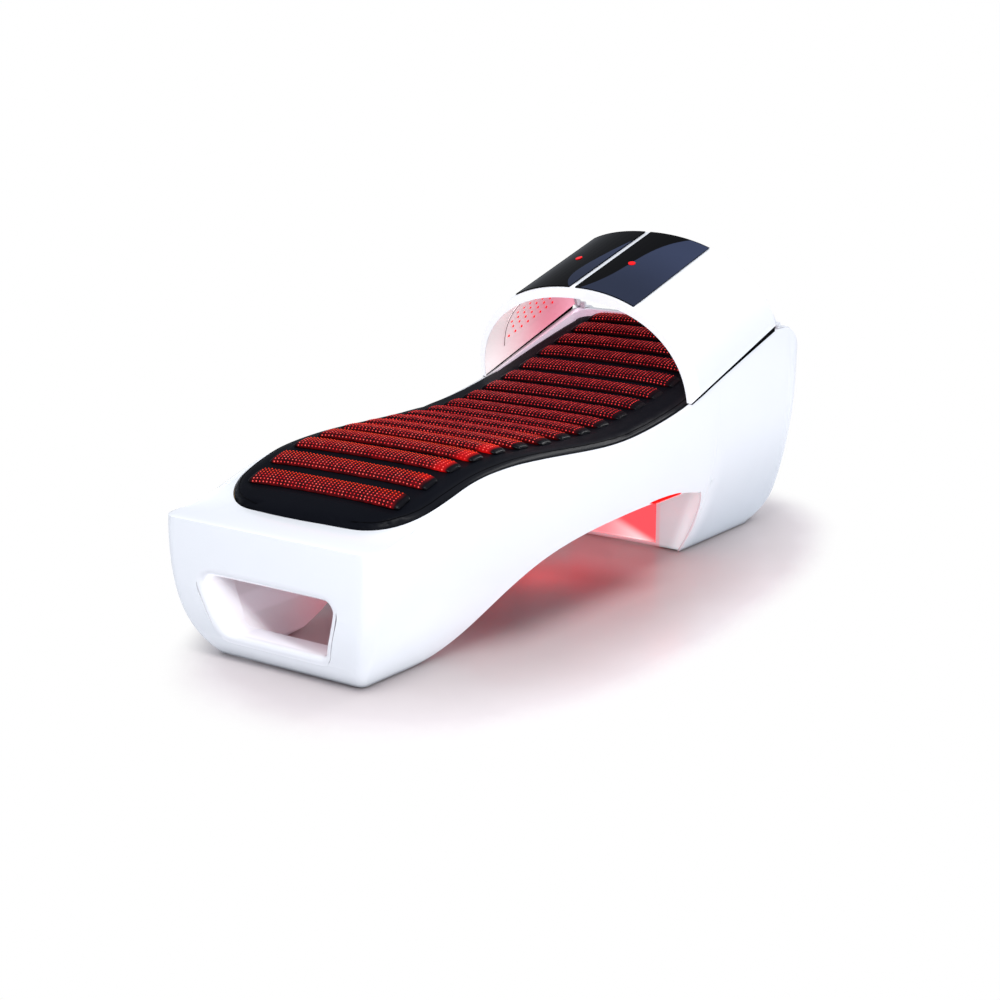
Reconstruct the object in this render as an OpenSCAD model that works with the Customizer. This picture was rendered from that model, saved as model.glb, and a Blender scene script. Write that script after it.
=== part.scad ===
// Light therapy bed: a padded lounger with rows of small red lamps, on a moulded
// bridge-shaped base, with an arched light hood hinged at the head end.
// X runs from the foot to the head, Y across, Z up. The origin is on the floor,
// under the middle of the bed.

/* [Overall] */
// Length of the base, foot to head
body_l = 2250; // [2220:10:2400]
// Width across the base at the shoulders
body_w = 776; // [740:4:860]
// Width across the base at the foot end
foot_w = 720; // [660:4:760]
// Width across the base at the knees, its narrowest place
waist_w = 696; // [640:4:730]
// Width of the two blocks where they stand on the floor
floor_w = 492; // [440:4:560]
// Wall of the moulded base and hood
skin = 6; // [4:0.5:8]
// Air under the moulded base, which stands on its feet
floor_gap = 3; // [2:1:6]

/* [Heights of the rim] */
// Rim at the foot end
foot_h = 396; // [376:2:430]
// Rim under the knees
knee_h = 493; // [470:1:520]
// Rim at the seat
seat_h = 473; // [440:1:500]
// Rim where the hood begins
shoulder_h = 521; // [500:1:560]
// Rim where the hood ends
crown_h = 680; // [640:5:740]
// Edge of the head end, where its shoulder turns down
nape_h = 520; // [480:5:580]

/* [Stations along the bed] */
// Top of the rise under the knees
knee_at = 600; // [560:5:660]
// Lowest point of the seat
seat_at = 1063; // [1000:5:1120]
// Foot edge of the hood on the rim
hood_at = 1472; // [1430:2:1520]
// Length of the hood along the rim
hood_l = 520; // [480:5:540]
// Foot end overhang beyond the floor line
foot_over = 90; // [60:5:110]
// Where the side of the foot block leaves the floor
foot_block_end = 345; // [320:5:380]
// Front wall of the head block
head_block_at = 1655; // [1600:5:1700]
// Head end overhang beyond the floor line
head_over = 157; // [120:1:180]
// Height of the arch under the bridge
arch_h = 256; // [240:2:280]

/* [Mattress] */
// Foot end of the mattress
mattress_at = 145; // [120:5:160]
// Length of the mattress
mattress_l = 1855; // [1830:5:1870]
// Depth of the mattress recess at the rim
recess = 16; // [12:1:22]
// Extra depth of the recess at the head end
head_recess = 32; // [20:1:40]
// Height of the mattress crown over the rim
crown = 24; // [16:1:32]
// Number of lamp ribs across the mattress
rib_n = 18; // [12:1:18]
// Distance from rib to rib
rib_pitch = 100; // [96:1:101]
// Width of a rib
rib_w = 66; // [54:1:72]
// Height of a rib over the mattress
rib_h = 15; // [10:1:20]
// Foot edge of the first rib
rib_at = 222; // [210:1:236]
// Length of a full rib
rib_l = 576; // [480:4:600]
// Least border between a rib end and the mattress edge
rib_border = 62; // [50:1:90]

/* [Hood] */
// Height of the hood over the rim at its front
hood_h = 322; // [300:1:350]
// Forward lean of the hood's front edge
front_lean = 70; // [40:1:100]
// Forward lean of the hood's rear edge
rear_lean = 144; // [110:1:170]
// Thickness of the hood at its crown
hood_t = 31; // [26:1:38]
// Height of the hood over the rim at its rear
hood_rear_h = 282; // [270:1:330]
// Thickness of the hood at its lower edges
hood_foot_t = 16; // [14:0.5:20]
// Seam between the hood and the rim at the hood's front
seam = 5; // [3:0.5:7]
// Seam between the hood and the rim at the hood's rear
seam_rear = 13; // [8:0.5:16]
// Thickness of the roof glass
glass_t = 3; // [2:0.5:5]
// Angle over which one roof glass reaches down from the ridge
glass_span = 31; // [24:1:44]
// Diameter of a hinge pin
pin_d = 8; // [6:0.5:10]

/* [Foot opening] */
// Height of the sill
sill_h = 75; // [60:1:90]
// Height of the opening
opening_h = 177; // [150:1:180]
// Width of the opening at its top
opening_w = 452; // [400:2:460]
// Width of the opening at the sill
opening_foot_w = 378; // [340:2:400]
// Corner radius of the opening
opening_r = 38; // [24:1:50]
// Depth of the sill
sill_d = 110; // [80:5:140]

/* [Frame and feet] */
// Width of a frame rail
rail_w = 30; // [25:5:40]
// Height of a frame rail
rail_d = 50; // [40:5:60]
// Wall of the frame tubes
tube_t = 3; // [2:0.5:4]
// Distance between the middles of the rails
rail_gap = 516; // [510:2:540]
// Diameter of a glide foot
glide_d = 38; // [30:2:40]
// Height of a glide foot
glide_h = 9; // [7:1:12]

/* [Hidden] */

// Gap between flat faces that meet, and the wider one where a flat piece follows a curve
air = 0.3;
curve_gap = 0.8;
hood_end = hood_at + hood_l;
mattress_end = mattress_at + mattress_l;
opening_top = sill_h + opening_h;

// Outline of the rim seen from the side, as station and height
rim_line = [
    [0, foot_h - 9], [mattress_at, foot_h],
    [mattress_at + 60, foot_h + 0.17 * (knee_h - foot_h)],
    [mattress_at + 120, foot_h + 0.4 * (knee_h - foot_h)],
    [mattress_at + 205, foot_h + 0.66 * (knee_h - foot_h)], [knee_at - 160, knee_h - 11],
    [knee_at, knee_h], [seat_at - 290, seat_h + 0.65 * (knee_h - seat_h)], [seat_at, seat_h],
    [hood_at - 222, seat_h + 0.25 * (shoulder_h - seat_h)], [hood_at, shoulder_h],
    [hood_at + hood_l / 3, shoulder_h + (crown_h - shoulder_h) / 3],
    [hood_at + 2 * hood_l / 3, shoulder_h + 2 * (crown_h - shoulder_h) / 3],
    [hood_end, crown_h]];

// Level part of the rim behind the hood, then the slope down to the head end
hinge_flat = 66;
nape_line = [
    [hood_end + hinge_flat, crown_h], [hood_end + hinge_flat + 40, crown_h - 6],
    [hood_end + 160, crown_h - 46], [body_l - 40, nape_h + 50], [body_l, nape_h]];

// Half width of the base at the rim, as station and half width
width_line = [
    [0, foot_w / 2], [mattress_at + 60, foot_w / 2 - 2], [knee_at - 170, waist_w / 2 + 2],
    [knee_at, waist_w / 2], [seat_at - 290, waist_w / 2 + 8], [seat_at - 120, body_w / 2 - 14],
    [seat_at, body_w / 2 - 4], [hood_at - 222, body_w / 2], [hood_at, body_w / 2],
    [hood_end, body_w / 2], [body_l, body_w / 2 - 2]];

// How far the mattress edge lies inside the outer edge of the rim
inset_line = [
    [mattress_at, 46], [mattress_at + 110, 34], [mattress_at + 175, 22],
    [mattress_at + 290, 14], [hood_at, 14], [hood_at + 60, 20], [mattress_end, 34]];

// Lower edge of the side walls, as station and height
arch_line = [
    [foot_block_end, 0], [foot_block_end + 80, 27], [foot_block_end + 155, 56],
    [foot_block_end + 210, 94], [foot_block_end + 337, 155], [foot_block_end + 402, 184],
    [foot_block_end + 500, 211], [foot_block_end + 610, 234], [foot_block_end + 805, 250],
    [head_block_at - 345, 251], [head_block_at - 165, 243], [head_block_at - 95, 226]];

// Round corner between the arch and the front wall of the head block
fillet_l = 93;
fillet_h = 226;
fillet_from = head_block_at - 95;

// Height over which the head end curves in towards the floor
head_curve_h = 100;

function lerp(a, b, t) = a + (b - a) * t;
function clamp(x, lo, hi) = min(max(x, lo), hi);
function flip(list) = [for (i = [len(list) - 1:-1:0]) list[i]];

// Smooth line through points of rising station
function slot_of(line, x) = clamp(len([for (p = line) if (p[0] <= x) 1]) - 1, 0, len(line) - 2);
function grade(line, i) = i == 0
    ? (line[1][1] - line[0][1]) / (line[1][0] - line[0][0])
    : i == len(line) - 1
        ? (line[i][1] - line[i - 1][1]) / (line[i][0] - line[i - 1][0])
        : (line[i + 1][1] - line[i - 1][1]) / (line[i + 1][0] - line[i - 1][0]);
function hermite(a, b, ga, gb, h, t) =
    (2 * t * t * t - 3 * t * t + 1) * a + (t * t * t - 2 * t * t + t) * h * ga
    + (3 * t * t - 2 * t * t * t) * b + (t * t * t - t * t) * h * gb;
function span(line, i, x) = let (h = line[i + 1][0] - line[i][0])
    hermite(line[i][1], line[i + 1][1], grade(line, i), grade(line, i + 1), h, (x - line[i][0]) / h);
function along(line, x) = let (c = clamp(x, line[0][0], line[len(line) - 1][0]))
    span(line, slot_of(line, c), c);

function rim_z(s) = s <= hood_end ? along(rim_line, s)
    : s <= hood_end + hinge_flat ? crown_h : along(nape_line, s);
function rim_y(s) = along(width_line, s);
function drop(s) = head_recess * pow(clamp((s - hood_at + 60) / (mattress_end - hood_at + 60), 0, 1), 1.3);

// Lower edge of the side: floor, rising arch, fillet and the head block's front wall
function edge_z(s) = floor_gap + (
    s <= foot_block_end ? 0
    : s <= fillet_from ? along(arch_line, s)
    : s < fillet_from + fillet_l
        ? fillet_h * sqrt(max(0, 1 - pow((s - fillet_from) / fillet_l, 4)))
        : 0);

// The walls lean in towards the floor: 0 on the floor, 1 at the rim
function flare(z, top) = 1 - pow(1 - clamp(z / top, 0, 1), 2.8);
function side_y(s, z) = lerp(floor_w / 2, rim_y(s), flare(z, rim_z(s)));
function foot_s(z) = foot_over * pow(1 - clamp(z / foot_h, 0, 1), 5);
function head_s(z) = body_l
    - head_over * (1 - sqrt(1 - pow(1 - clamp(z / head_curve_h, 0, 1), 2)));

// A closed loft: every ring has the same number of points
module loft(rings, ring_path = false, end_faces = []) {
    n = len(rings);
    m = len(rings[0]);
    last = ring_path ? n : n - 1;
    sides = [for (i = [0:last - 1], j = [0:m - 1])
        let (k = (i + 1) % n, l = (j + 1) % m)
        each [[i * m + j, k * m + j, k * m + l], [i * m + j, k * m + l, i * m + l]]];
    ends = len(end_faces) > 0 ? end_faces : [[for (j = [0:m - 1]) j]];
    caps = ring_path ? [] : concat(ends, [for (f = ends) [for (j = flip(f)) (n - 1) * m + j]]);
    polyhedron(points = [for (r = rings) each r], faces = concat(sides, caps), convexity = 10);
}

module bed() {
    translate([-body_l / 2, 0, 0]) children();
}

// Steps round half of a plan outline, from the middle of the foot end to the middle of
// the head end. A step is its kind (foot line, foot corner, side, head corner, head line)
// and its share or station along that kind.
line_shares = [0, 0.22, 0.44, 0.62, 0.81];
corner_angles = [for (i = [0:6]) i * 15];
last_shared = hood_end - 60;
first_station = foot_block_end - 235;
foot_shared = foot_block_end + 180;
side_stations = concat(
    [for (i = [0:5]) lerp(first_station, foot_shared, i / 6)],
    [for (i = [0:9]) lerp(foot_shared, hood_at - 132, i / 9)],
    [hood_at - 50, hood_at, hood_at + 48, head_block_at - 95, head_block_at - 50, head_block_at - 20,
     head_block_at - 5, head_block_at + 1, hood_at + 300, hood_at + 400, last_shared],
    [hood_end - 2, hood_end + 30, hood_end + hinge_flat, hood_end + hinge_flat + 30]);
half_steps = concat(
    [for (t = line_shares) [0, t]], [for (a = corner_angles) [1, a]],
    [for (s = side_stations) [2, s]], [for (a = corner_angles) [3, a]],
    [for (t = flip(line_shares)) [4, t]]);
steps_n = len(half_steps);

// One step of an outline that runs from s0 to s1 with corners r0 and r1
function step_at(step, s0, s1, r0, r1, half) =
    step[0] == 0 ? [s0, step[1] * (half(s0 + r0) - r0)]
    : step[0] == 1 ? [s0 + r0 * (1 - cos(step[1])), half(s0 + r0) - r0 * (1 - sin(step[1]))]
    : step[0] == 2 ? [step[1], half(step[1])]
    : step[0] == 3 ? [s1 - r1 * (1 - sin(step[1])), half(s1 - r1) - r1 * (1 - cos(step[1]))]
    : [s1, step[1] * (half(s1 - r1) - r1)];

// Repeats half a loop of rings on the other side of the bed
function mirror_y(ring) = [for (p = ring) [p[0], -p[1], p[2]]];
function all_round(half_rings) = concat(
    half_rings, [for (i = [steps_n - 2:-1:1]) mirror_y(half_rings[i])]);

// Corner radii of the base in plan, on the floor and at the rim, and of the mattress
foot_corner = [20, 45];
head_corner = [60, 125];
mattress_corner = [175, 62];

// A point of the base's outer wall, at a share of the wall's height
wall_shares = [0, 0.035, 0.09, 0.16, 0.26, 0.38, 0.53, 0.71, 0.9];
roll = 7;
function wall_station(step, s) = step[0] < 2 ? 0 : step[0] == 2 ? s : body_l;
function wall_height(step, t) =
    lerp(edge_z(wall_station(step, step[1])), rim_z(wall_station(step, step[1])) - roll, t);
function wall_point(step, t, inside) = let (
    z = wall_height(step, t),
    lean = flare(z, foot_h),
    p = step_at(step, foot_s(z) + inside, head_s(z) - inside,
        lerp(foot_corner[0], foot_corner[1], lean) - inside / 2,
        lerp(head_corner[0], head_corner[1], lean) - inside / 2,
        function(s) side_y(s, z) - inside))
    [p[0], p[1], z];

// The rim: the wall's rolled edge and the shelf to the mattress recess
function rim_point(step, inside, down) = let (
    p = step_at(step, inside, body_l - inside,
        foot_corner[1] - inside / 2, head_corner[1] - inside / 2,
        function(s) rim_y(s) - inside))
    [p[0], p[1], rim_z(p[0]) - down];
function mattress_half(s) = rim_y(s) - along(inset_line, s);
function recess_step(step) =
    step[0] != 2 ? step
    : step[1] < foot_shared ? [2, lerp(mattress_at + mattress_corner[0], foot_shared,
        (step[1] - first_station + 20) / (foot_shared - first_station + 20))]
    : step[1] > last_shared ? [2, lerp(last_shared, mattress_end - mattress_corner[1],
        (step[1] - last_shared) / (body_l - head_corner[1] - last_shared))]
    : step;
function recess_outline(step, out) = step_at(recess_step(step),
    mattress_at - out, mattress_end + out, mattress_corner[0] + out, mattress_corner[1] + out,
    function(s) mattress_half(s) + out);
function recess_depth(s) = recess + drop(s);
function recess_point(step, out, down) = let (p = recess_outline(step, out))
    [p[0], p[1], rim_z(p[0]) - down];
function shelf_point(step, t, inside, down) = let (
    a = rim_point(step, inside, down),
    b = recess_point(step, 2 + (down > 0 ? lip_t : 0), down),
    s = lerp(a[0], b[0], t))
    [s, lerp(a[1], b[1], t), rim_z(s) - down];
lip_t = 4;

function base_section(step) = concat(
    [for (t = wall_shares) wall_point(step, t, 0)],
    [rim_point(step, roll * 0.3, roll * 0.3), rim_point(step, roll, 0)],
    [for (t = [0.3, 0.65, 1]) shelf_point(step, t, roll, 0)],
    [let (p = recess_outline(step, 2)) [p[0], p[1], rim_z(p[0]) - recess_depth(p[0])],
     let (p = recess_outline(step, 2 + lip_t)) [p[0], p[1], rim_z(p[0]) - recess_depth(p[0])]],
    [for (t = [1, 0.65, 0.3]) shelf_point(step, t, roll, skin)],
    [for (t = flip(wall_shares)) if (t != 0.035) wall_point(step, t, skin)]);

module base_shell() {
    color("white") bed() difference() {
        loft(all_round([for (step = half_steps) base_section(step)]), true);
        foot_opening(-lip_out - air, -20, foot_over + 60);
        inlet_window();
    }
}

// The foot opening as a prism along the bed, wider at its top, with round corners
module foot_opening(inside, from, to) {
    a = opening_foot_w / 2 - opening_r;
    b = opening_w / 2 - opening_r;
    translate([from, 0, sill_h])
        rotate([90, 0, 90])
            linear_extrude(to - from)
                offset(r = opening_r - inside, $fn = 48)
                    polygon([[-a, opening_r], [a, opening_r],
                        [b, opening_h - opening_r], [-b, opening_h - opening_r]]);
}

// Rolled lip of the foot opening: it starts flush with the outer face and rolls inward
lip_r = 22;
lip_out = 14;
lip_wall = 3;
trim_steps = [for (c = [0:3], i = [0:5]) [c, i * 18]];
trim_end = foot_s(opening_top) + skin + sill_d;
function trim_point(c, a, grow, deep) = let (
    right = c == 0 || c == 3,
    top = c < 2,
    y = (top ? opening_w : opening_foot_w) / 2 - opening_r,
    r = opening_r + grow,
    z = (top ? opening_top - opening_r : sill_h + opening_r) + r * sin(a + 90 * c))
    [deep < 0 ? trim_end : foot_s(z) + deep, (right ? y : -y) + r * cos(a + 90 * c), z];
function trim_ring(grow, deep) = [for (st = trim_steps) trim_point(st[0], st[1], grow, deep)];
lip_turns = [0, 18, 36, 54, 72, 90];

module foot_opening_trim() {
    inner_r = lip_r - lip_wall;
    color("white") bed() loft(concat(
        [for (a = lip_turns) trim_ring(lip_out - lip_r * sin(a), lip_r * (1 - cos(a)))],
        [trim_ring(lip_out - lip_r, -1), trim_ring(lip_out - inner_r, -1)],
        [for (a = flip(lip_turns))
            trim_ring(lip_out - inner_r * sin(a), lip_r - inner_r * cos(a))]), true);
}

// The passage under the bridge: inner face of its walls at a height
function passage_y(z) = lerp(opening_foot_w / 2, opening_w / 2 + 4, z / opening_top);
sheet = 4;
wall_clear = skin + curve_gap;

module foot_sill_plate() {
    front = foot_over + skin + 1;
    back = trim_end + air;
    half = passage_y(0) - air;
    color("gainsboro") bed()
        translate([0, half, 0]) rotate([90, 0, 0]) linear_extrude(2 * half)
            polygon([[front, floor_gap + 2], [back + 3, floor_gap + 2], [back + 3, sill_h + 6],
                [back, sill_h + 6], [back, floor_gap + 5], [front, floor_gap + 5]]);
}

// Ceiling of the passage and front wall of the head block, in one bent sheet
wall_face = head_block_at + 5;
bend_r = 55;
ceiling_full = foot_block_end + 525;
// The ceiling rises a little from the foot opening to the bridge
function ceiling_z(s) =
    lerp(opening_top + air, arch_h, clamp((s - trim_end) / (ceiling_full - trim_end), 0, 1));
ceiling_full_stations = [for (i = [0:4]) lerp(ceiling_full, wall_face - bend_r, i / 4)];
bend_path = concat(
    [for (s = [trim_end - 25, trim_end, ceiling_full - 10]) [s, ceiling_z(s), 0]],
    [for (s = ceiling_full_stations) [s, arch_h, 0]],
    [for (a = [18:18:90]) [wall_face - bend_r + bend_r * sin(a), arch_h - bend_r * (1 - cos(a)), a]],
    [[wall_face, 110, 90], [wall_face, floor_gap + 3, 90]]);
function ceiling_y(s, z) = s < ceiling_full - 5
    ? passage_y(arch_h) + sheet : side_y(s, z) - wall_clear - 1.5;
function bend_ring(p) = let (
    q = [p[0] + sheet * sin(p[2]), p[1] + sheet * cos(p[2])],
    y = ceiling_y(p[0], p[1]),
    y2 = min(ceiling_y(q[0], q[1]), y + 6))
    [[p[0], -y, p[1]], [p[0], y, p[1]], [q[0], y2, q[1]], [q[0], -y2, q[1]]];

glow_half = 160;
glow_low = 16;
glow_high = arch_h - bend_r - 9;
glow_depth = 15;

module tunnel_ceiling() {
    color("white") bed() difference() {
        loft([for (p = bend_path) bend_ring(p)]);
        translate([wall_face - 3, -glow_half, glow_low])
            cube([sheet + 6, 2 * glow_half, glow_high - glow_low]);
    }
}

// Side walls of the passage, each with a flange that closes the hollow side of the base
passage_from = trim_end + air;
passage_stations = [for (i = [0:10]) lerp(passage_from, foot_block_end + 600, i / 10)];
function flange_y(s, z) = s < foot_block_end - 10 ? passage_y(z) + 5 : side_y(s, z) - wall_clear;
function passage_ring(s) = let (e = edge_z(s) + 1, top = ceiling_z(s) - air)
    [[s, passage_y(e), e], [s, flange_y(s, e), e], [s, flange_y(s, e + sheet), e + sheet],
        [s, passage_y(e) + sheet, e + sheet], [s, passage_y(top) + sheet, top],
        [s, passage_y(top), top]];

module passage_wall() {
    loft([for (s = passage_stations) passage_ring(s)],
        end_faces = [[0, 1, 2, 3], [0, 3, 4, 5]]);
}

module tunnel_walls() {
    color("white") bed() {
        passage_wall();
        mirror([0, 1, 0]) passage_wall();
    }
}

module arch_glow_panel() {
    x = wall_face + sheet + air;
    color("salmon") bed() translate([x, 0, (glow_low + glow_high) / 2]) difference() {
        translate([0, -glow_half - 8, -(glow_high - glow_low) / 2 - 8])
            cube([glow_depth - sheet + 3, 2 * glow_half + 16, glow_high - glow_low + 16]);
        translate([-1, -glow_half, -(glow_high - glow_low) / 2])
            cube([glow_depth - sheet + 1, 2 * glow_half, glow_high - glow_low]);
    }
}

module arch_glow_board() {
    x = wall_face + glow_depth + 3 + 2 * air;
    color("green") bed() translate([x, -glow_half + 10, glow_low + 10])
        cube([2, 2 * glow_half - 20, glow_high - glow_low - 20]);
}

// Lamp bars under both sides of the bridge, just inside the side walls by the head block
glow_bar_from = head_block_at - 315;
glow_bar_l = 200;
glow_bar_w = 24;
glow_bar_y = side_y(fillet_from, arch_h - 20) - skin - 4 - glow_bar_w / 2;
lens_t = 8;
channel_t = 9;
module glow_bar(top, t, w) {
    for (side = [0, 1]) mirror([0, side, 0])
        translate([glow_bar_from, glow_bar_y, top - t]) linear_extrude(t) {
            translate([w / 2, 0]) circle(d = w, $fn = 32);
            translate([w / 2, -w / 2]) square([glow_bar_l - w, w]);
            translate([glow_bar_l - w / 2, 0]) circle(d = w, $fn = 32);
        }
}

module underglow_channels() {
    color("silver") bed() glow_bar(arch_h - air, channel_t, glow_bar_w);
}

module underglow_lenses() {
    color("red") bed() glow_bar(arch_h - channel_t - 2 * air, lens_t, glow_bar_w - 4);
}

// Steel frame hidden inside the base
rail_z = max(arch_h, opening_top + air) + sheet + 2;
rail_top = rail_z + rail_d;
rail_from = 45;
rail_to = body_l - 75;
cross_stations = [70, 560, 1010, 1440, 1770, rail_to - 45];
leg_stations = [foot_over + 125, head_block_at + 100, body_l - 225];
leg_foot_y = floor_w / 2 - 28;
leg_d = 36;

module tube_x(l, w, h) {
    difference() {
        cube([l, w, h]);
        translate([-1, tube_t, tube_t]) cube([l + 2, w - 2 * tube_t, h - 2 * tube_t]);
    }
}

module frame_rails() {
    color("dimgray") bed() for (side = [-1, 1])
        translate([rail_from, side * rail_gap / 2 - rail_w / 2, rail_z])
            tube_x(rail_to - rail_from, rail_w, rail_d);
}

module frame_cross_members() {
    l = rail_gap - rail_w - 2 * air;
    color("dimgray") bed() for (s = cross_stations)
        translate([s + rail_d / 2, -l / 2, rail_z + 5]) rotate([0, 0, 90])
            tube_x(l, rail_d, rail_d - 10);
}

function leg_ring(s, y, z) = let (w = rail_w / 2, d = leg_d / 2)
    [[s - d, y - w, z], [s + d, y - w, z], [s + d, y + w, z], [s - d, y + w, z]];

module frame_legs() {
    color("dimgray") bed() for (s = leg_stations, side = [0, 1]) mirror([0, side, 0])
        loft([leg_ring(s, rail_gap / 2, rail_z - air), leg_ring(s, leg_foot_y, glide_h + air)]);
}

module glide_feet() {
    color("black") bed() for (s = leg_stations, side = [-1, 1])
        translate([s, side * leg_foot_y, 0]) {
            cylinder(h = glide_h - 3, d1 = glide_d - 4, d2 = glide_d, $fn = 26);
            translate([0, 0, glide_h - 3]) cylinder(h = 3, d = glide_d - 8, $fn = 26);
        }
}

// Deck and mattress, as cross sections from the foot corner to the head corner
body_steps = [for (st = half_steps) if (st[0] > 0 && st[0] < 4) st];
deck_t = 12;
function deck_top(s) = rim_z(s) - recess_depth(s) - air;
function deck_ring(step) = let (
    p = recess_outline(step, lip_t + 1), s = p[0], y = p[1], z = deck_top(s))
    [[s, -y, z], [s, -y, z - deck_t], [s, y, z - deck_t], [s, y, z]];

module mattress_deck() {
    color("tan") bed() loft([for (st = body_steps) deck_ring(st)]);
}

bearer_stations = [190, 480, 790, 1080, 1380, 1640, 1900];
bearer_w = 16;
bearer_h = 24;
function bearer_top(s) = min(deck_top(s - bearer_w / 2), deck_top(s + bearer_w / 2)) - deck_t - air;

module deck_bearers() {
    color("dimgray") bed() for (s = bearer_stations) translate([s - bearer_w / 2, 0, 0]) {
        top = bearer_top(s);
        half = rail_gap / 2 + rail_w / 2;
        translate([0, -half, top - bearer_h]) cube([bearer_w, 2 * half, bearer_h]);
        for (side = [-1, 1])
            translate([0, side * rail_gap / 2 - rail_w / 2 + tube_t, rail_top + air])
                cube([bearer_w, rail_w - 2 * tube_t, top - bearer_h - rail_top]);
    }
}

// Mattress surface: crowned across, rounded down at both ends and along its edges
section_shares = [-1, -0.985, -0.94, -0.86, -0.72, -0.5, -0.25, 0, 0.25, 0.5, 0.72, 0.86, 0.94,
    0.985, 1];
end_round = 64;
function end_rise(s) = let (
    d = clamp(min(s - mattress_at, mattress_end - s) / end_round, 0, 1))
    lerp(0.25, 1, sqrt(1 - pow(1 - d, 2)));
function mattress_z(s, share) =
    rim_z(s) - drop(s) + 1 + crown * end_rise(s) * pow(1 - pow(abs(share), 3), 0.45);
function mattress_ring(step) = let (
    p = recess_outline(step, 0), s = p[0], y = p[1],
    low = rim_z(s) - recess_depth(s) + air)
    concat([for (u = section_shares) [s, u * y, mattress_z(s, u)]],
        [[s, y - 3, lerp(low, mattress_z(s, 1), 0.5)], [s, y - 5, low],
         [s, -y + 5, low], [s, -y + 3, lerp(low, mattress_z(s, 1), 0.5)]]);

module mattress() {
    color("#1b1b22") bed() loft([for (st = body_steps) mattress_ring(st)]);
}

// Padded ribs: a flat-topped roll across the mattress, its ends rounded down
rib_edge = 9;
rib_gap = 0.98;
rib_profile = [[0, 0], [1.5, 0.55], [rib_edge, 1], [rib_w - rib_edge, 1], [rib_w - 1.5, 0.55],
    [rib_w, 0], [rib_w * 0.78, 0], [rib_w * 0.4, 0]];
function rib_half(i) = let (s = rib_at + i * rib_pitch + rib_w / 2)
    min(rib_l / 2, mattress_half(s) - rib_border);
rib_shares = [-1, -0.975, -0.9, -0.7, -0.35, 0, 0.35, 0.7, 0.9, 0.975, 1];
function rib_end(u) = let (d = clamp((1 - abs(u)) / 0.1, 0, 1)) sqrt(1 - pow(1 - d, 2));
function rib_ring(i, u) = let (
    y = u * rib_half(i),
    s0 = rib_at + i * rib_pitch,
    lift = max(rib_end(u), 0.12))
    [for (q = rib_profile)
        let (s = s0 + rib_w / 2 + (q[0] - rib_w / 2) * lerp(0.72, 1, rib_end(u)))
        [s, y, mattress_z(s, y / mattress_half(s)) + rib_gap + rib_h * q[1] * lift]];

module mattress_ribs() {
    color("#15151c") bed() for (i = [0:rib_n - 1]) loft([for (u = rib_shares) rib_ring(i, u)]);
}

// Lamp strips: a thin clear band along the top of each rib
strip_t = 1.2;
strip_shares = [-0.9, -0.7, -0.35, 0, 0.35, 0.7, 0.9];
function strip_ring(i, u) = let (
    y = u * rib_half(i),
    s0 = rib_at + i * rib_pitch)
    [for (q = [[rib_edge + 2, 0], [rib_edge + 2, 1], [rib_w - rib_edge - 2, 1],
        [rib_w - rib_edge - 2, 0]])
        let (s = s0 + q[0])
        [s, y, mattress_z(s, y / mattress_half(s)) + rib_gap + air + rib_h + strip_t * q[1]]];

module rib_lamp_strips() {
    color("red") bed() for (i = [0:rib_n - 1]) loft([for (u = strip_shares) strip_ring(i, u)]);
}

// The seam opens slowly from the front of the hood to its rear
function seam_at(v) = lerp(seam, seam_rear, v);

// Rubber seal on the rim, under the two lower edges of the hood
seal_stations = [for (i = [0:8]) lerp(hood_at + 6, hood_end - 6, i / 8)];
function seal_ring(s) = let (
    y = rim_y(s) - roll / 2,
    w = hood_foot_t - roll / 2 - 2,
    low = rim_z(s) + curve_gap,
    high = rim_z(s) + seam_at((s - hood_at) / hood_l) - curve_gap)
    [[s, y, low], [s, y, high], [s, y - w, high], [s, y - w, low]];

module rim_seal() {
    color("black") bed() for (side = [0, 1]) mirror([0, side, 0])
        loft([for (s = seal_stations) seal_ring(s)]);
}

// A point of the hood: share along its length, angle from the crown, and how far it lies
// inside the outer surface at the lower edge and at the crown
arch_power = 2 / 2.2;
function arch_sin(a) = sign(a) * pow(abs(sin(a)), arch_power);
function arch_cos(a) = pow(max(0, cos(a)), arch_power);
function hood_point(v, a, in_foot, in_crown) = let (
    s = lerp(hood_at, hood_end, v),
    h = lerp(hood_h, hood_rear_h, v),
    grow = (h - in_crown) / h)
    [s - lerp(front_lean, rear_lean, v) * grow * arch_cos(a),
        (rim_y(s) - in_foot) * arch_sin(a),
        rim_z(s) + seam_at(v) + (h - in_crown) * arch_cos(a)];

// A point of a sheet on the hood, which runs straight from its front edge to its rear edge
function sheet_point(v, a, v0, v1, out) = lerp(
    hood_point(v0, a, out[0], out[1]), hood_point(v1, a, out[0], out[1]), (v - v0) / (v1 - v0));

hood_skin = 4;
hood_angles = [for (i = [-20:20]) 90 * i / 20];
lip_v = hood_skin / hood_l;

function hood_section(a) = [
    hood_point(0, a, 0, 0), hood_point(0.5, a, 0, 0), hood_point(1, a, 0, 0),
    hood_point(1, a, hood_foot_t, hood_t), hood_point(1 - lip_v, a, hood_foot_t, hood_t),
    hood_point(1 - lip_v, a, hood_skin, hood_skin), hood_point(0.5, a, hood_skin, hood_skin),
    hood_point(lip_v, a, hood_skin, hood_skin), hood_point(lip_v, a, hood_foot_t, hood_t),
    hood_point(0, a, hood_foot_t, hood_t)];

module hood_shell() {
    color("white") bed() loft([for (a = hood_angles) hood_section(a)],
        end_faces = [[0, 1, 6, 7], [1, 2, 5, 6], [2, 3, 4, 5], [0, 7, 8, 9]]);
}

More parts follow.
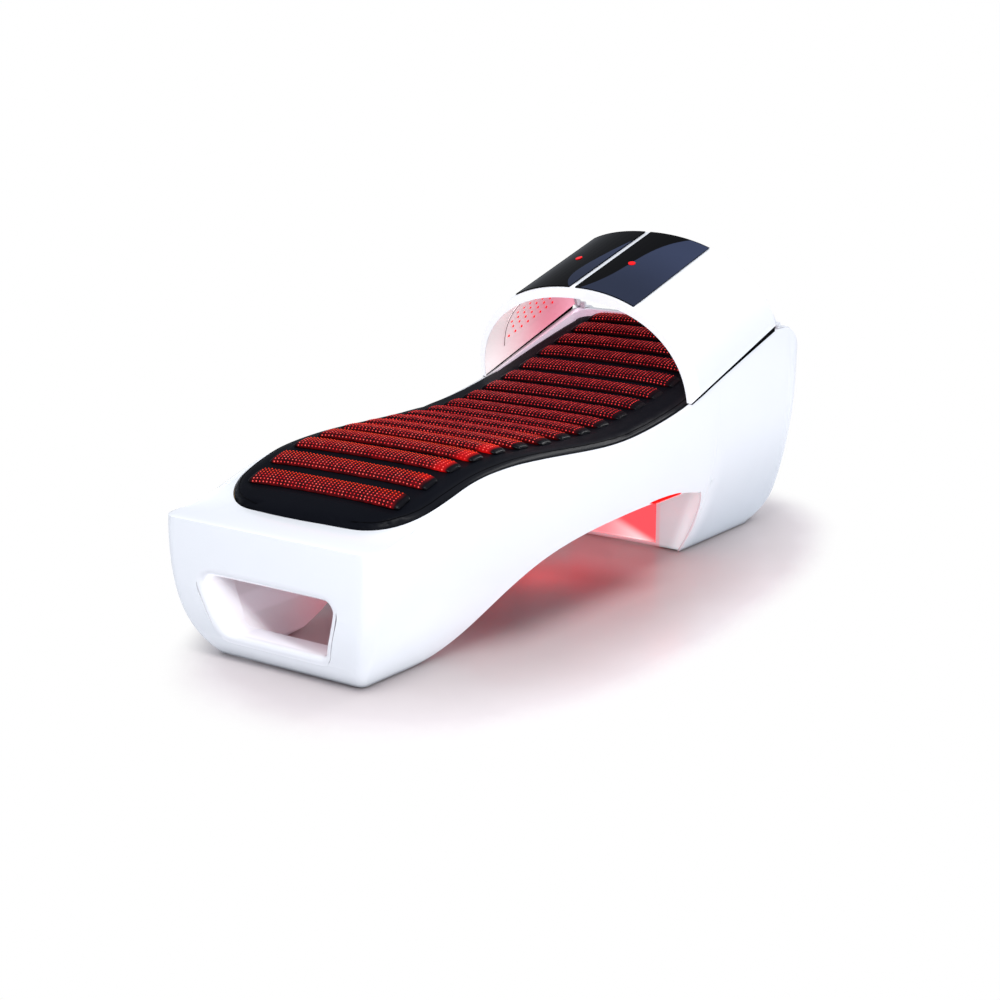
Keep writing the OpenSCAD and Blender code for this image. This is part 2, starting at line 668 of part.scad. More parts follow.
// A curved sheet on the hood between two shares, two angles and two depths
function hood_sheet_ring(a, v0, v1, out, t) = [
    hood_point(v0, a, out[0], out[1]), hood_point(v1, a, out[0], out[1]),
    hood_point(v1, a, out[0] + t, out[1] + t), hood_point(v0, a, out[0] + t, out[1] + t)];
module hood_sheet(v0, v1, a0, a1, steps, out, t) {
    loft([for (i = [0:steps]) hood_sheet_ring(lerp(a0, a1, i / steps), v0, v1, out, t)]);
}

liner_t = 3;
panel_t = 2;
panel_v0 = 0.21;
panel_v1 = 0.9;
panel_angle = 81;

module hood_liner() {
    color("white") bed() hood_sheet(lip_v + 0.001, 1 - lip_v - 0.001, -89.5, 89.5, 40,
        [hood_foot_t - liner_t, hood_t - liner_t], liner_t);
}

module hood_lamp_panel() {
    color("mistyrose") bed() hood_sheet(panel_v0, panel_v1, -panel_angle, panel_angle, 32,
        [hood_foot_t + curve_gap, hood_t + curve_gap], panel_t);
}

// Lamps in the hood panel: staggered rows on both sides
lamp_d = 8.5;
lamp_h = 1.6;
lamp_columns = 8;
lamp_v0 = 0.25;
lamp_v1 = 0.745;
lamp_angles = [76, 70.5, 65, 59];
module hood_lamp(v, a) {
    depth = panel_t + 2.5 * curve_gap;
    out = [hood_foot_t + depth, hood_t + depth];
    p = sheet_point(v, a, panel_v0, panel_v1, out);
    along_arch = sheet_point(v, a + 1, panel_v0, panel_v1, out)
        - sheet_point(v, a - 1, panel_v0, panel_v1, out);
    across = sheet_point(panel_v1, a, panel_v0, panel_v1, out) - p;
    n = cross(along_arch, across);
    u = n / norm(n);
    translate(p) rotate([0, acos(u[2]), atan2(u[1], u[0])])
        cylinder(h = lamp_h, d = lamp_d, $fn = 14);
}

module hood_lamps() {
    color("red") bed() for (side = [-1, 1], k = [0:len(lamp_angles) - 1], i = [0:lamp_columns - 1])
        hood_lamp(lerp(lamp_v0, lamp_v1, (i + (k % 2) / 2) / (lamp_columns - 1)),
            side * lamp_angles[k]);
}

ridge_angle = 1.1;
glass_v0 = 0.012;
glass_v1 = 0.988;
glass_out = [-curve_gap - glass_t, -curve_gap - glass_t];
module roof_glass(side) {
    color("#0c0e16") bed()
        hood_sheet(glass_v0, glass_v1, side * ridge_angle, side * glass_span, 10, glass_out, glass_t);
}

module roof_glass_left() {
    roof_glass(1);
}

module roof_glass_right() {
    roof_glass(-1);
}

indicator_d = 22;
indicator_h = 2;
module indicator(v, a) {
    out = [-glass_t - 1.6 * curve_gap, -glass_t - 1.6 * curve_gap];
    p = sheet_point(v, a, glass_v0, glass_v1, out);
    along_arch = sheet_point(v, a + 1, glass_v0, glass_v1, out)
        - sheet_point(v, a - 1, glass_v0, glass_v1, out);
    across = sheet_point(glass_v1, a, glass_v0, glass_v1, out) - p;
    n = cross(across, along_arch);
    u = n / norm(n);
    translate(p) rotate([0, acos(u[2]), atan2(u[1], u[0])])
        cylinder(h = indicator_h, d = indicator_d, $fn = 32);
}

module indicator_lamp_left() {
    color("red") bed() indicator(0.51, glass_span * 0.53);
}

module indicator_lamp_right() {
    color("red") bed() indicator(0.47, -glass_span * 0.34);
}

// Hinges at the head end of the hood, one over each side of the rim
hinge_s = hood_end + 24;
knuckle_r = 9;
hinge_z = crown_h + knuckle_r + 3;
knuckle_y = body_w / 2 - 22;
knuckle_w = 12;
inner_leaf = 14;
outer_leaf = 8;
knuckle_gap = 0.4;
leaf_l = 40;
leaf_t = 3;
leaf_z = crown_h + 0.2;
pin_fit = 0.05;
pin_head_t = 2;
pin_head_d = pin_d + 5;
pin_head_gap = 0.2;
strap_h = 60;

module base_knuckle(y, w) {
    difference() {
        union() {
            translate([hinge_s, y + w, hinge_z]) rotate([90, 0, 0])
                cylinder(h = w, r = knuckle_r, $fn = 40);
            translate([hinge_s - knuckle_r / 2, y, leaf_z]) cube([knuckle_r, w, hinge_z - leaf_z]);
        }
        translate([hinge_s, y + w + 1, hinge_z]) rotate([90, 0, 0])
            cylinder(h = w + 2, d = pin_d + 2 * pin_fit, $fn = 40);
    }
}

module hinge_base_leaves() {
    inner = knuckle_y - inner_leaf - knuckle_gap;
    outer = knuckle_y + knuckle_w + knuckle_gap;
    color("silver") bed() for (side = [0, 1]) mirror([0, side, 0]) {
        base_knuckle(inner, inner_leaf);
        base_knuckle(outer, outer_leaf);
        translate([hinge_s + 2, inner, leaf_z]) cube([leaf_l, outer + outer_leaf - inner, leaf_t]);
    }
}

module hinge_hood_arms() {
    strap_s = hood_end + 0.8;
    lean = rear_lean / hood_rear_h;
    color("silver") bed() for (side = [0, 1]) mirror([0, side, 0]) {
        difference() {
            union() {
                translate([hinge_s, knuckle_y + knuckle_w, hinge_z]) rotate([90, 0, 0])
                    cylinder(h = knuckle_w, r = knuckle_r, $fn = 40);
                translate([0, knuckle_y + knuckle_w, crown_h + seam_rear]) rotate([90, 0, 0])
                    linear_extrude(knuckle_w) polygon([[strap_s, 0], [strap_s, -4], [hinge_s, -4],
                        [hinge_s, 7], [strap_s - strap_h * lean + 4, strap_h],
                        [strap_s - strap_h * lean, strap_h]]);
            }
            translate([hinge_s, knuckle_y + knuckle_w + 1, hinge_z]) rotate([90, 0, 0])
                cylinder(h = knuckle_w + 2, d = pin_d + 2 * pin_fit, $fn = 40);
        }
    }
}

module hinge_pins() {
    l = knuckle_w + inner_leaf + outer_leaf + 2 * knuckle_gap + 2 * pin_head_gap;
    y = knuckle_y + knuckle_w + knuckle_gap + outer_leaf + pin_head_gap;
    color("gray") bed() for (side = [0, 1]) mirror([0, side, 0])
        translate([hinge_s, y, hinge_z]) rotate([90, 0, 0]) {
            translate([0, 0, -pin_head_t]) cylinder(h = pin_head_t, d = pin_head_d, $fn = 28);
            translate([0, 0, -1]) cylinder(h = l + 2, d = pin_d, $fn = 40);
            translate([0, 0, l]) cylinder(h = pin_head_t, d = pin_head_d, $fn = 28);
        }
}

// Power parts in the head block
plate_z = 14;
plate_t = 3;
block_inside = head_s(0) - wall_face - sheet;
supply_size = [0.5 * block_inside, 115, 50];
controller_size = [0.4 * block_inside, 120, 38];
fin_n = 8;
fin_pitch = (supply_size[0] - 28) / fin_n;
plate_half = leg_foot_y - rail_w / 2 + air;
module head_floor_plate() {
    color("silver") bed() translate([wall_face + sheet + 20, -plate_half, plate_z])
        cube([head_s(0) - wall_face - 75, 2 * plate_half, plate_t]);
}

module led_power_supply() {
    color("silver") bed() translate([wall_face + sheet + 0.2 * block_inside, -150, plate_z + plate_t + air]) {
        cube(supply_size);
        for (i = [0:fin_n - 1]) translate([14 + i * fin_pitch, 10, supply_size[2]])
            cube([4, supply_size[1] - 20, 6]);
    }
}

module controller_box() {
    color("dimgray") bed() translate([wall_face + sheet + 0.24 * block_inside, 20, plate_z + plate_t + air]) {
        cube(controller_size);
        translate([10, 10, controller_size[2]])
            cube([controller_size[0] - 20, controller_size[1] - 20, 4]);
    }
}

inlet_z = 150;
inlet_y = -24;
switch_y = 26;
window_w = 112;
window_h = 52;
plate_lap = 10;
plate_x = body_l - skin - 1 - plate_t;
module inlet_window() {
    translate([body_l - 30, -window_w / 2, inlet_z - window_h / 2]) cube([60, window_w, window_h]);
}

// Width and height of the two devices, their wall, and the rim that laps the plate
inlet_w = 28;
inlet_hgt = 20;
switch_w = 22;
switch_hgt = 30;
device_wall = 2;
device_depth = 20;
device_rim = 3;
module device_body(w, h) {
    translate([plate_t + air, -w / 2 - device_rim, -h / 2 - device_rim])
        cube([2, w + 2 * device_rim, h + 2 * device_rim]);
    translate([-device_depth, -w / 2, -h / 2]) cube([device_depth + plate_t + 1, w, h]);
}

module device_cut(w, h) {
    translate([plate_x - 1, -w / 2 - air, inlet_z - h / 2 - air])
        cube([plate_t + 2, w + 2 * air, h + 2 * air]);
}

module inlet_plate() {
    color("dimgray") bed() difference() {
        translate([plate_x, -window_w / 2 - plate_lap, inlet_z - window_h / 2 - plate_lap])
            cube([plate_t, window_w + 2 * plate_lap, window_h + 2 * plate_lap]);
        translate([0, inlet_y, 0]) device_cut(inlet_w, inlet_hgt);
        translate([0, switch_y, 0]) device_cut(switch_w, switch_hgt);
    }
}

// Three-pin inlet with a hollow front
module power_inlet() {
    color("black") bed() translate([plate_x, inlet_y, inlet_z]) {
        difference() {
            device_body(inlet_w, inlet_hgt);
            translate([-15, -inlet_w / 2 + device_wall, -inlet_hgt / 2 + device_wall])
                cube([30, inlet_w - 2 * device_wall, inlet_hgt - 2 * device_wall]);
        }
        for (p = [[-7, -2], [0, 3], [7, -2]])
            translate([-16, p[0] - 1, p[1] - 2]) cube([14, 2, 4]);
    }
}

module power_switch_frame() {
    color("black") bed() translate([plate_x, switch_y, inlet_z]) difference() {
        device_body(switch_w, switch_hgt);
        translate([-17, -switch_w / 2 + device_wall, -switch_hgt / 2 + device_wall])
            cube([30, switch_w - 2 * device_wall, switch_hgt - 2 * device_wall]);
    }
}

// Rocker, shown tipped to off; it turns about a level axis across the switch
rocker_x = plate_x - 4;
rocker_tip = 7;
module power_switch_rocker() {
    w = switch_w - 5;
    h = switch_hgt - 7;
    color("red") bed() translate([rocker_x, switch_y + w / 2, inlet_z])
        rotate([90, 0, 0]) linear_extrude(w)
            rotate([0, 0, rocker_tip]) union() {
                polygon([[-2, -h / 2 + 3], [8, -h / 2], [6.5, 0], [8, h / 2], [-2, h / 2 - 3]]);
                circle(r = 4, $fn = 32);
            }
}

base_shell();
tunnel_ceiling();
tunnel_walls();
foot_opening_trim();
foot_sill_plate();
arch_glow_panel();
arch_glow_board();
underglow_channels();
underglow_lenses();
frame_rails();
frame_cross_members();
frame_legs();
deck_bearers();
glide_feet();
head_floor_plate();
led_power_supply();
controller_box();
inlet_plate();
power_inlet();
power_switch_frame();
power_switch_rocker();
mattress_deck();
mattress();
mattress_ribs();
rib_lamp_strips();
rim_seal();
hood_shell();
hood_liner();
hood_lamp_panel();
hood_lamps();
roof_glass_left();
roof_glass_right();
indicator_lamp_left();
indicator_lamp_right();
hinge_base_leaves();
hinge_hood_arms();
hinge_pins();
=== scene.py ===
import math

import bmesh
import bpy
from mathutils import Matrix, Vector
from mathutils.bvhtree import BVHTree


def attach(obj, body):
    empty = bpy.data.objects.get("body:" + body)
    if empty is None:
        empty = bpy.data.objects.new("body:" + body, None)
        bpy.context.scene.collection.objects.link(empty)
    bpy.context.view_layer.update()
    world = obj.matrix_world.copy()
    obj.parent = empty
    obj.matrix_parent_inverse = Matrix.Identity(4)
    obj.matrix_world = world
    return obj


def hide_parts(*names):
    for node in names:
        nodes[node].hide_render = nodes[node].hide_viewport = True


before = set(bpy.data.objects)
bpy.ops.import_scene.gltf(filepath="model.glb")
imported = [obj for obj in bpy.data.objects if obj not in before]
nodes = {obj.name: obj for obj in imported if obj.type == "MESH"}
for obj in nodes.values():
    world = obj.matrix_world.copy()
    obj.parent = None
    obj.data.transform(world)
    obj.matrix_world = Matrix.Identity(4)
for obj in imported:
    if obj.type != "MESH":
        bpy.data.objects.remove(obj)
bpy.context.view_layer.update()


# ---------------------------------------------------------------- camera

def look_from(eye, heading, pitch, lens):
    """A camera at eye that looks along a heading from +X and down by pitch, in degrees."""
    bpy.ops.object.camera_add(location=eye)
    camera = bpy.context.object
    camera.name = "photo_camera"
    h, p = math.radians(heading), math.radians(pitch)
    forward = Vector((math.cos(h) * math.cos(p), math.sin(h) * math.cos(p), -math.sin(p)))
    camera.rotation_euler = forward.to_track_quat("-Z", "Y").to_euler()
    camera.data.sensor_width = 36
    camera.data.lens = lens
    bpy.context.scene.camera = camera


look_from((-4.6807, -3.2918, 1.71), 35.66, 14.37, 71.06)


# ---------------------------------------------------------------- shader maths

class Value:
    """A shader socket that can be used in Python expressions."""

    def __init__(self, finish, socket):
        self.finish = finish
        self.socket = socket

    def maths(self, operation, *values):
        return self.finish.node("ShaderNodeMath", {"operation": operation}, *values)

    def __add__(self, other):
        return self.maths("ADD", self, other)

    def __sub__(self, other):
        return self.maths("SUBTRACT", self, other)

    def __mul__(self, other):
        return self.maths("MULTIPLY", self, other)

    def __truediv__(self, other):
        return self.maths("DIVIDE", self, other)

    def __pow__(self, other):
        return self.maths("POWER", self, other)

    def __rsub__(self, other):
        return self.maths("SUBTRACT", other, self)

    def __abs__(self):
        return self.maths("ABSOLUTE", self)

    __radd__ = __add__
    __rmul__ = __mul__

    def fract(self):
        return self.maths("FRACT", self)

    def smooth(self, low, high):
        """0 below low, 1 above high, smooth between; low may be the larger one."""
        flip = low > high
        a, b = (high, low) if flip else (low, high)
        step = self.finish.node(
            "ShaderNodeMapRange", {"interpolation_type": "SMOOTHSTEP"}, self, a, b, 0.0, 1.0
        )
        return 1 - step if flip else step


class Finish:
    """A material made of nodes round one principled shader."""

    def __init__(self, name, **fixed):
        self.material = bpy.data.materials.new(name)
        self.material.use_nodes = True
        self.tree = self.material.node_tree
        self.tree.nodes.clear()
        self.out = self.tree.nodes.new("ShaderNodeOutputMaterial")
        self.shader = self.tree.nodes.new("ShaderNodeBsdfPrincipled")
        self.tree.links.new(self.shader.outputs[0], self.out.inputs[0])
        for socket, value in fixed.items():
            self.set(socket, value)

    def set(self, socket, value):
        self.join(self.shader.inputs[socket.replace("_", " ")], value)
        return self

    def join(self, socket, value):
        if isinstance(value, Value):
            self.tree.links.new(value.socket, socket)
        elif socket.type == "RGBA" and len(value) == 3:
            socket.default_value = (*value, 1)
        else:
            socket.default_value = value

    def node(self, kind, settings=None, *values, **named):
        """One node: its settings first, then values by place and by socket name."""
        n = self.tree.nodes.new(kind)
        for key, value in (settings or {}).items():
            setattr(n, key, value)
        for socket, value in zip(n.inputs, values):
            self.join(socket, value)
        for key, value in named.items():
            self.join(n.inputs[key.replace("_", " ")], value)
        return Value(self, n.outputs[0])

    def place(self):
        """Object coordinates, in metres."""
        return Value(self, self.tree.nodes.new("ShaderNodeTexCoord").outputs["Object"])

    def parts(self, point):
        """The numbers that a point is made of."""
        split = self.tree.nodes.new("ShaderNodeSeparateXYZ")
        self.join(split.inputs[0], point)
        return [Value(self, s) for s in split.outputs]

    def axes(self):
        """x, y and z of the object coordinates."""
        return self.parts(self.place())

    def noise(self, scale, detail):
        return self.node("ShaderNodeTexNoise", None,
                         Vector=self.place(), Scale=scale, Detail=detail)

    def grain(self, scale):
        """Height over the creases between small cells."""
        return self.node("ShaderNodeTexVoronoi", {"feature": "DISTANCE_TO_EDGE"},
                         Vector=self.place(), Scale=scale)

    def mix(self, factor, a, b):
        """A colour between a and b."""
        n = self.tree.nodes.new("ShaderNodeMix")
        n.data_type = "RGBA"
        self.join(n.inputs[0], factor)
        self.join(n.inputs[6], a)
        self.join(n.inputs[7], b)
        return Value(self, n.outputs[2])

    def cover(self, factor, colour):
        """Plain light of one colour over the shader, as far as factor says."""
        light = self.tree.nodes.new("ShaderNodeEmission")
        self.join(light.inputs[0], colour)
        blend = self.tree.nodes.new("ShaderNodeMixShader")
        self.join(blend.inputs[0], factor)
        self.tree.links.new(self.shader.outputs[0], blend.inputs[1])
        self.tree.links.new(light.outputs[0], blend.inputs[2])
        self.tree.links.new(blend.outputs[0], self.out.inputs[0])

    def glow(self, colour, strength=1.0):
        """Light of its own."""
        return self.set("Emission_Color", colour).set("Emission_Strength", strength)

    def bump(self, height, strength, distance):
        self.set("Normal", self.node(
            "ShaderNodeBump", None, Height=height, Strength=strength, Distance=distance))
        return self


def dress(finish, *names):
    for name in names:
        o = nodes[name] if name in nodes else bpy.data.objects[name]
        o.data.materials.clear()
        o.data.materials.append(finish.material)


# ---------------------------------------------------------------- finishes

# Places of the 18 ribs along the bed, in metres
FIRST_RIB, RIB_PITCH, RIB_WIDTH = 0.222 - 1.125, 0.1, 0.066
RIB_COUNT = 18
RIBS_LENGTH = 1.76


def gloss_white(name):
    """Sprayed white gel coat: a little orange peel, a haze of dust low down, painted shade that
    greys it towards the floor at the head end, and a painted contact shadow as a dark line along
    the floor."""
    f = Finish(name, Coat_Weight=0.5, Coat_Roughness=0.05)
    x, y, z = f.axes()
    drift = f.noise(2.2, 2)
    base = f.mix(drift, (0.84, 0.85, 0.872), (0.885, 0.89, 0.905))
    # Painted shade: greyer towards the floor at the head end
    painted_low_shade = x.smooth(0.50, 0.62) * z.smooth(0.42, 0.02)
    base = f.mix(painted_low_shade * 0.75, base, (0.50, 0.54, 0.60))
    dust = f.noise(38, 4) * z.smooth(0.05, 0.0) * 0.3
    base = f.mix(dust, base, (0.62, 0.60, 0.58))
    # Painted contact shadow: a dark line along the floor
    f.base = f.mix(z.smooth(0.016, 0.004) * 0.65, base, (0.28, 0.29, 0.31))
    f.set("Base_Color", f.base)
    f.set("Roughness", f.noise(9, 4) * 0.08 + 0.13 + dust * 0.4)
    return f.bump(f.noise(420, 2), 0.06, 0.0004)


shell = gloss_white("white_gel_coat")
hood_white = gloss_white("white_hood_coat")

# Painted light: the rim under the hood glows as if lit by the hood's lamps, and a painted red
# glow stands for the lamp bars' red at the arch's edge
f = shell
x, y, z = f.axes()
under_hood = (x.smooth(0.35, 0.42) * x.smooth(0.90, 0.87) * abs(y).smooth(0.375, 0.368)
              * (z - x * 0.306).smooth(0.37, 0.385))
painted_light = f.mix(under_hood, (0, 0, 0), (0.34, 0.25, 0.33))
f.glow(painted_light)
# The painted red glow is an ellipse 190 mm long and 12 mm high, which slopes with the arch's edge
PAINTED_LENS_X, PAINTED_LENS_Z, PAINTED_LENS_SLOPE = 0.2425, 0.2645, 0.043
ellipse = ((x - PAINTED_LENS_X) / 0.095) ** 2 + (abs(z + x * PAINTED_LENS_SLOPE - PAINTED_LENS_Z) / 0.0058) ** 2
f.cover(ellipse.smooth(1.15, 0.85), (1.0, 0.008, 0.008))

# The hood's front leans back: its distance along x grows by this share of the height
HOOD_LEAN = 0.271

# The leaning front edge of the hood faces the studio; a painted glow makes it show pure white
f = hood_white
x, y, z = f.axes()
painted_edge_glow = (x + z * HOOD_LEAN).smooth(0.552, 0.532)
f.glow(f.mix(painted_edge_glow, (0, 0, 0), (0.30, 0.29, 0.30)))


# The foot end leans out to the front over the floor, along a power curve of the height
HALF_LENGTH = 1.125
FOOT_HEIGHT = 0.396
FOOT_OVERHANG = 0.09


def painted_daylight(f, deep):
    """Painted light that stands in for the light falling in at the foot opening: full on the far
    side's lower front, soft at its edge, then one pale band along the wall; deep is the painted
    glow further in. The end wall by the arch is painted pale, and lightest at its outer corner."""
    x, y, z = f.axes()
    face = (1 - z / FOOT_HEIGHT) ** 5 * FOOT_OVERHANG - HALF_LENGTH
    far = y.smooth(0.12, 0.16) * x.smooth(-0.3, -0.5) * (x - face).smooth(0.002, 0.022)
    full = (z * -0.863 - x - 0.873).smooth(-0.03, 0.035) * far
    sill = z.smooth(0.105, 0.085) * (x - face).smooth(0.012, 0.03)
    band = z.smooth(0.092, 0.102) * z.smooth(0.162, 0.150) * far * 0.5
    red = f.mix(x.smooth(-0.88, -0.55) * x.smooth(0.3, 0.0), (0.012, 0.004, 0.008), deep)
    painted_light = f.mix(band, red, (0.14, 0.11, 0.14))
    painted_light = f.mix(sill * (x - y * 0.305).smooth(-1.02, -1.06), painted_light, (0.34, 0.34, 0.37))
    painted_light = f.mix(full, painted_light, (0.50, 0.50, 0.53))
    wall = f.mix((abs(y) - z * 0.38).smooth(0.196, 0.240), (0.0, 0.11, 0.10), (0.20, 0.32, 0.32))
    wall = f.mix(abs(y).smooth(0.178, 0.170), wall, (0.12, 0.0, 0.0))
    f.glow(f.mix(x.smooth(0.520, 0.531), painted_light, wall))


f = gloss_white("white_passage_skin")
x, y, z = f.axes()
# Painted shade: the base colour turns darker and redder deeper inside the passage
painted_deep_shade = x.smooth(-0.75, -0.40) * x.smooth(0.30, 0.10)
f.set("Base_Color", f.mix(painted_deep_shade, f.base, (0.42, 0.26, 0.30)))
painted_daylight(f, (0.16, 0.002, 0.008))
dress(f, "tunnel_ceiling", "tunnel_walls", "foot_sill_plate")
lip_white = gloss_white("white_lip_coat")
painted_daylight(lip_white, (0.012, 0.004, 0.008))


def hood_inside(name, darker, paler, front=None):
    """Satin skin with the pink light of the hood's lamps painted into its colour and its glow,
    strongest at the rear. The edge of a piece that starts behind the hood's own front shows as a
    thin dark line."""
    f = Finish(name)
    x, y, z = f.axes()
    # Painted pink light of the lamps, in the base colour and the glow, grows towards the rear
    rear = (x + f.noise(5, 2) * 0.08).smooth(0.36, 0.80)
    pale = f.mix(f.noise(3, 3), darker, paler)
    base = f.mix(rear, pale, (0.84, 0.52, 0.58))
    warm = f.mix(z.smooth(0.80, 0.58), (0.30, 0.045, 0.085), (0.44, 0.05, 0.10))
    painted_light = f.mix(rear, (0.50, 0.445, 0.45), warm)
    if front is not None:
        border = (x + z * HOOD_LEAN).smooth(front + 0.0004, front - 0.0004)
        base = f.mix(border, base, (0.12, 0.09, 0.09))
        painted_light = f.mix(border, painted_light, (0, 0, 0))
    f.set("Base_Color", base).set("Roughness", f.noise(14, 4) * 0.12 + 0.3).glow(painted_light)
    return f.bump(f.noise(600, 2), 0.08, 0.0003)


inner_skin = hood_inside("satin_inner_skin", (0.83, 0.80, 0.81), (0.88, 0.85, 0.86))
panel_white = (0.86, 0.83, 0.84)
dress(hood_inside("lamp_panel_skin", panel_white, panel_white, front=0.609), "hood_lamp_panel")


def black_cover(name, low, high):
    """Satin blue-black upholstery with a fine grain."""
    f = Finish(name, IOR=1.07)
    grain = f.grain(900)
    f.set("Base_Color", f.mix(f.noise(6, 3), low, high))
    f.set("Roughness", f.noise(20, 4) * 0.12 + 0.36)
    return f.bump(grain + f.noise(160, 3) * 0.6, 0.15, 0.0005)


padding = black_cover("padding_cover", (0.0035, 0.004, 0.006), (0.006, 0.0065, 0.0095))
cord_cover = black_cover("piping_cover", (0.002, 0.002, 0.0025), (0.003, 0.003, 0.004))
rib_cover = black_cover("rib_cover", (0.003, 0.003, 0.0045), (0.005, 0.005, 0.007))


def rib_light(f):
    """How brightly the ribs' lamps and the painted glow on their cover shine, most at the foot
    and at their near ends; the place within a rib's pitch, from 0 to 1; and x and y."""
    x, y, _ = f.axes()
    bright = x.smooth(-0.15, -0.7) * 0.75 + y.smooth(-0.14, -0.24) * x.smooth(0.1, -0.4) * 0.5
    phase = ((x + 0.01 - FIRST_RIB) / RIB_PITCH).fract()
    return bright, phase, x, y


f = rib_cover
bright, phase, x, y = rib_light(f)
reach = x.smooth(-0.835, -0.805) * 0.0125 + x.smooth(-0.42, -0.30) * 0.015 + 0.2445
field = phase.smooth(0.03, 0.09) * phase.smooth(0.82, 0.76)
field = field * (reach - abs(y)).smooth(-0.006, 0.006)
# Painted glow of the lamps' red light on the cover round them: brighter at the foot and the near
# ends, in patches, and a painted hot glow at the near ends of some ribs near the foot
glow = f.mix(bright, (0.010, 0.0002, 0.0004), (0.045, 0.0005, 0.0005))
patchy = f.noise(40, 2).smooth(0.38, 0.68)
glow = f.mix(patchy * (bright * 0.75 + 0.08), glow, (0.15, 0.001, 0.002))
ends = y.smooth(-0.205, -0.235) * x.smooth(-0.79, -0.74) * x.smooth(-0.40, -0.46)
glow = f.mix(ends * 0.8, glow, (0.62, 0.004, 0.004))
f.glow(f.mix(field, (0, 0, 0), glow))
nose = (abs(y) - reach).smooth(0.002, 0.010)
f.set("Coat_Weight", nose * 0.22).set("Coat_Roughness", 0.3)

rib_lamp = f = Finish("rib_lamp", Roughness=0.3, IOR=1.1)
bright, phase, x, y = rib_light(f)
twinkle = f.noise(70, 1).smooth(0.42, 0.62)
dim = f.mix(twinkle, (0.40, 0.008, 0.014), (0.92, 0.055, 0.055))
near_rows = f.mix(twinkle, (0.76, 0.03, 0.035), (1.0, 0.14, 0.12))
full = f.mix(phase.smooth(0.34, 0.52), near_rows, (1.0, 0.06, 0.012))
f.set("Base_Color", (0.2, 0.004, 0.003)).glow(f.mix(bright * 1.2, dim, full), 1.15)

f = Finish("red_lamp", Roughness=0.2, IOR=1.2)
f.set("Base_Color", (0.4, 0.005, 0.005)).glow((0.80, 0.002, 0.006))
dress(f, "hood_lamps", "indicator_lamp_left", "indicator_lamp_right")

f = Finish("red_bar_lens", Roughness=0.25, IOR=1.2)
f.set("Base_Color", (0.6, 0.01, 0.01)).glow((1.0, 0.0015, 0.001), 4.0)
dress(f, "underglow_lenses")

f = Finish("lit_panel", Roughness=0.3)
x, y, z = f.axes()
pale = f.mix(y.smooth(-0.12, 0.06), (0.95, 0.72, 0.75), (0.92, 0.26, 0.30))
# The lamp panel's glow is painted as a pool of the lamp bar's red light above a soft diagonal
# edge, and pale pink below it
painted_light = (z - y * 0.41).smooth(0.05, 0.088)
f.set("Base_Color", (0.1, 0.02, 0.02)).glow(f.mix(painted_light, pale, (0.96, 0.08, 0.10)))
dress(f, "arch_glow_panel")


def curve_through(x, factors):
    """The polynomial of x with these factors, highest power first."""
    total = factors[0]
    for factor in factors[1:]:
        total = x * total + factor
    return total


# Painted reflection on each pane: blue-grey below a curved border, black glass above it
reflection_borders = {"roof_glass_left": (-15.815, 34.372, -28.251, 10.169, -1.281),
              "roof_glass_right": (-3.865, 5.619, -2.815, 0.406)}
for name, factors in reflection_borders.items():
    f = Finish(name + "_tint", Roughness=0.05, IOR=1.06)
    x, y, z = f.axes()
    painted_reflection = (curve_through(x, factors) - y).smooth(-0.0015, 0.0015)
    reflection_fade = f.noise(4, 2) * 0.25 + x.smooth(0.32, 0.66) * 0.75
    reflected_sky = f.mix(reflection_fade, (0.022, 0.027, 0.046), (0.038, 0.048, 0.088))
    f.set("Base_Color", f.mix(painted_reflection, (0.0045, 0.0045, 0.005), reflected_sky))
    dress(f, name)


def plain(name, colour, roughness, metal=0.0, grain=300, depth=0.1, ior=1.5):
    f = Finish(name, Metallic=metal, IOR=ior)
    low = tuple(c * 0.82 for c in colour)
    f.set("Base_Color", f.mix(f.noise(12, 4), low, colour))
    f.set("Roughness", f.noise(40, 3) * 0.15 + roughness - 0.07)
    return f.bump(f.noise(grain, 3), depth, 0.0004)


rubber = plain("black_rubber", (0.003, 0.003, 0.0035), 0.7, ior=1.05)
dress(rubber, "glide_feet")
dress(plain("powder_coat", (0.10, 0.10, 0.11), 0.5, grain=900, depth=0.2),
      "frame_rails", "frame_cross_members", "frame_legs", "deck_bearers")
dress(plain("aluminium", (0.72, 0.73, 0.75), 0.35, 1.0), "underglow_channels", "head_floor_plate",
      "led_power_supply")
dress(plain("black_moulding", (0.025, 0.025, 0.028), 0.45, grain=1200, depth=0.2),
      "controller_box", "inlet_plate", "power_inlet", "power_switch_frame")
dress(plain("red_rocker", (0.5, 0.03, 0.03), 0.25), "power_switch_rocker")
dress(plain("lamp_board", (0.03, 0.2, 0.09), 0.4), "arch_glow_board")
dress(plain("deck_ply", (0.5, 0.36, 0.22), 0.6), "mattress_deck")
dress(plain("white_hinge_coat", (0.80, 0.81, 0.84), 0.35, grain=900),
      "hinge_base_leaves", "hinge_hood_arms", "hinge_pins")


# ---------------------------------------------------------------- moulded skins

# A bend sharper than this many degrees is a corner of the moulding
CORNER_ANGLE = 38


def take(piece):
    """Makes one object the only selected one."""
    if bpy.context.mode != "OBJECT":
        bpy.ops.object.mode_set(mode="OBJECT")
    bpy.ops.object.select_all(action="DESELECT")
    piece.select_set(True)
    bpy.context.view_layer.objects.active = piece


